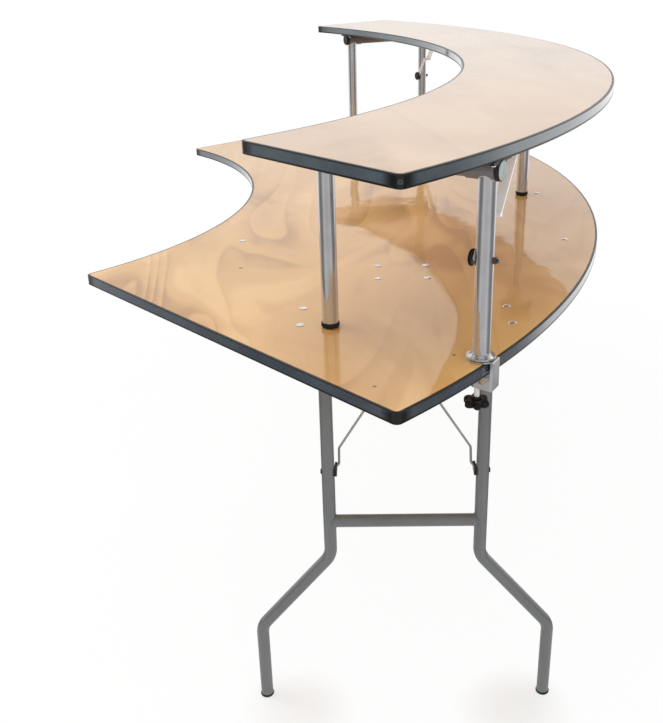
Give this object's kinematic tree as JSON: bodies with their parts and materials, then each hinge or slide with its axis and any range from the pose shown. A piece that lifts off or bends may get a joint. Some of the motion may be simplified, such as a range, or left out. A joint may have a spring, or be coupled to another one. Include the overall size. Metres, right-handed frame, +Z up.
{
  "type": "serpentine bar table",
  "caption": "Curved folding banquet table with a raised bar shelf on tubular posts, folding legs with wire braces and screw clamps at the shelf's ends.",
  "frame": {"origin": "on the floor, at the middle of the object's bounding box seen from above", "axes": "+Z up; +Y along the table's length, from its near end to its far end; +X from the inner curve to the outer curve"},
  "size_m": [0.987, 2.1554, 1.061],
  "materials": {
    "table_wood": "glossy honey laminate",
    "shelf_wood": "glossy pale laminate",
    "edge_band": "glossy dark slate band",
    "leg_metal": "satin grey powder coat",
    "chrome": "polished chrome",
    "bright_steel": "bright zinc plated",
    "black_steel": "black enamel",
    "aluminium": "cast, satin",
    "rubber": "matt black",
    "black_plastic": "satin black",
    "grey_plastic": "satin dark grey"
  },
  "bodies": {
    "table": {"table_top": "table_wood", "table_edge_band": "edge_band", "hinge_saddles": "leg_metal", "brace_brackets": "leg_metal", "table_bolts": "bright_steel"},
    "near_leg": {"near_hinge_tube": "leg_metal", "near_leg_tubes": "leg_metal", "near_crossbar": "leg_metal", "near_leg_glides": "rubber", "near_brace_clips": "black_steel"},
    "near_wires": {"near_brace_wires": "bright_steel"},
    "near_links": {"near_brace_links": "black_steel"},
    "far_leg": {"far_hinge_tube": "leg_metal", "far_leg_tubes": "leg_metal", "far_crossbar": "leg_metal", "far_leg_glides": "rubber", "far_brace_clips": "black_steel"},
    "far_wires": {"far_brace_wires": "bright_steel"},
    "far_links": {"far_brace_links": "black_steel"},
    "riser": {"riser_top": "shelf_wood", "riser_edge_band": "edge_band", "riser_saddles": "black_plastic", "riser_brackets": "bright_steel", "riser_screws": "bright_steel"},
    "near_frame": {"near_top_tube": "leg_metal", "near_end_plugs": "grey_plastic", "near_inner_post": "chrome", "near_outer_post": "chrome", "near_foot_tip": "rubber", "near_foot_flange": "bright_steel", "near_flange_screws": "bright_steel", "near_pivot_bolt": "bright_steel", "near_pivot_cap": "black_plastic"},
    "near_side_links": {"near_side_links": "bright_steel"},
    "near_strip": {"near_top_link": "bright_steel"},
    "far_frame": {"far_top_tube": "leg_metal", "far_end_plugs": "grey_plastic", "far_inner_post": "chrome", "far_outer_post": "chrome", "far_foot_tip": "rubber", "far_foot_flange": "bright_steel", "far_flange_screws": "bright_steel", "far_pivot_bolt": "bright_steel", "far_pivot_cap": "black_plastic"},
    "far_side_links": {"far_side_links": "bright_steel"},
    "far_strip": {"far_top_link": "bright_steel"},
    "mid_frame": {"mid_top_tube": "leg_metal", "mid_post": "chrome", "mid_foot_tip": "rubber", "mid_pivot_bolt": "bright_steel"},
    "mid_side_links": {"mid_side_links": "bright_steel"},
    "mid_strip": {"mid_top_link": "bright_steel"},
    "near_clamp": {"near_clamp_body": "aluminium"},
    "near_pad": {"near_clamp_pad": "bright_steel"},
    "near_screw": {"near_clamp_screw": "bright_steel", "near_clamp_knob": "black_plastic"},
    "far_clamp": {"far_clamp_body": "aluminium"},
    "far_pad": {"far_clamp_pad": "bright_steel"},
    "far_screw": {"far_clamp_screw": "bright_steel", "far_clamp_knob": "black_plastic"}
  },
  "joints": [
    {"name": "near_leg_fold", "type": "hinge", "parent": "table", "child": "near_leg", "pos_m": [0.06154, -0.75, 0.72], "axis": [1, 0, 0], "range_deg": [0, 90]},
    {"name": "near_wire_swing", "type": "hinge", "parent": "near_leg", "child": "near_wires", "pos_m": [0.06154, -0.733, 0.483], "axis": [1, 0, 0], "range_deg": [-150.72, 0]},
    {"name": "near_link_swing", "type": "hinge", "parent": "table", "child": "near_links", "pos_m": [0.06154, -0.59, 0.737], "axis": [1, 0, 0], "range_deg": [0, 119.48]},
    {"name": "far_leg_fold", "type": "hinge", "parent": "table", "child": "far_leg", "pos_m": [0.06154, 0.75, 0.72], "axis": [-1, 0, 0], "range_deg": [0, 90]},
    {"name": "far_wire_swing", "type": "hinge", "parent": "far_leg", "child": "far_wires", "pos_m": [0.06154, 0.733, 0.483], "axis": [-1, 0, 0], "range_deg": [-150.72, 0]},
    {"name": "far_link_swing", "type": "hinge", "parent": "table", "child": "far_links", "pos_m": [0.06154, 0.59, 0.737], "axis": [-1, 0, 0], "range_deg": [0, 119.48]},
    {"name": "riser_lift", "type": "slide", "parent": "table", "child": "riser", "axis": [0, 0, 1], "range_m": [0, 0.1]},
    {"name": "near_frame_fold", "type": "hinge", "parent": "riser", "child": "near_frame", "pos_m": [0.16153, -0.91427, 1.0284], "axis": [0.8695, -0.4939, 0], "range_deg": [0, 84]},
    {"name": "near_side_swing", "type": "hinge", "parent": "near_frame", "child": "near_side_links", "pos_m": [0.16153, -0.91427, 0.9074], "axis": [0.8695, -0.4939, 0], "range_deg": [-120.02, 0]},
    {"name": "near_strip_swing", "type": "hinge", "parent": "riser", "child": "near_strip", "pos_m": [0.2045, -0.83862, 1.038], "axis": [0.8695, -0.4939, 0], "range_deg": [0, 123.77]},
    {"name": "far_frame_fold", "type": "hinge", "parent": "riser", "child": "far_frame", "pos_m": [0.16153, 0.91427, 1.0284], "axis": [-0.8695, -0.4939, 0], "range_deg": [0, 84]},
    {"name": "far_side_swing", "type": "hinge", "parent": "far_frame", "child": "far_side_links", "pos_m": [0.16153, 0.91427, 0.9074], "axis": [-0.8695, -0.4939, 0], "range_deg": [-120.02, 0]},
    {"name": "far_strip_swing", "type": "hinge", "parent": "riser", "child": "far_strip", "pos_m": [0.2045, 0.83862, 1.038], "axis": [-0.8695, -0.4939, 0], "range_deg": [0, 123.77]},
    {"name": "mid_frame_fold", "type": "hinge", "parent": "riser", "child": "mid_frame", "pos_m": [0.34754, -0.015, 1.0284], "axis": [1, 0, 0], "range_deg": [0, 84]},
    {"name": "mid_side_swing", "type": "hinge", "parent": "mid_frame", "child": "mid_side_links", "pos_m": [0.34754, -0.015, 0.9074], "axis": [1, 0, 0], "range_deg": [-120.02, 0]},
    {"name": "mid_strip_swing", "type": "hinge", "parent": "riser", "child": "mid_strip", "pos_m": [0.34754, 0.072, 1.038], "axis": [1, 0, 0], "range_deg": [0, 123.77]},
    {"name": "near_clamp_slide", "type": "slide", "parent": "table", "child": "near_clamp", "axis": [0.8695, -0.4939, 0], "range_m": [0, 0.045]},
    {"name": "near_pad_travel", "type": "slide", "parent": "near_clamp", "child": "near_pad", "axis": [0, 0, -1], "range_m": [0, 0.0101]},
    {"name": "near_screw_turn", "type": "hinge", "parent": "near_pad", "child": "near_screw", "pos_m": [0.15761, -0.91205, 0.72], "axis": [0, 0, -1], "range_deg": [0, 2880]},
    {"name": "far_clamp_slide", "type": "slide", "parent": "table", "child": "far_clamp", "axis": [0.8695, 0.4939, 0], "range_m": [0, 0.045]},
    {"name": "far_pad_travel", "type": "slide", "parent": "far_clamp", "child": "far_pad", "axis": [0, 0, -1], "range_m": [0, 0.0101]},
    {"name": "far_screw_turn", "type": "hinge", "parent": "far_pad", "child": "far_screw", "pos_m": [0.15761, 0.91205, 0.72], "axis": [0, 0, -1], "range_deg": [0, 2880]}
  ],
  "couplings": [
    {"joint": "near_wire_swing", "follows": "near_leg_fold", "ratio": -1.6736},
    {"joint": "near_link_swing", "follows": "near_leg_fold", "ratio": 1.3264},
    {"joint": "far_wire_swing", "follows": "far_leg_fold", "ratio": -1.6736},
    {"joint": "far_link_swing", "follows": "far_leg_fold", "ratio": 1.3264},
    {"joint": "near_side_swing", "follows": "near_frame_fold", "ratio": -1.4276},
    {"joint": "near_strip_swing", "follows": "near_frame_fold", "ratio": 1.4723},
    {"joint": "far_side_swing", "follows": "far_frame_fold", "ratio": -1.4276},
    {"joint": "far_strip_swing", "follows": "far_frame_fold", "ratio": 1.4723},
    {"joint": "mid_side_swing", "follows": "mid_frame_fold", "ratio": -1.4276},
    {"joint": "mid_strip_swing", "follows": "mid_frame_fold", "ratio": 1.4723},
    {"joint": "near_pad_travel", "follows": "near_screw_turn", "m_per_rad": 0.00019894},
    {"joint": "far_pad_travel", "follows": "far_screw_turn", "m_per_rad": 0.00019894}
  ]
}
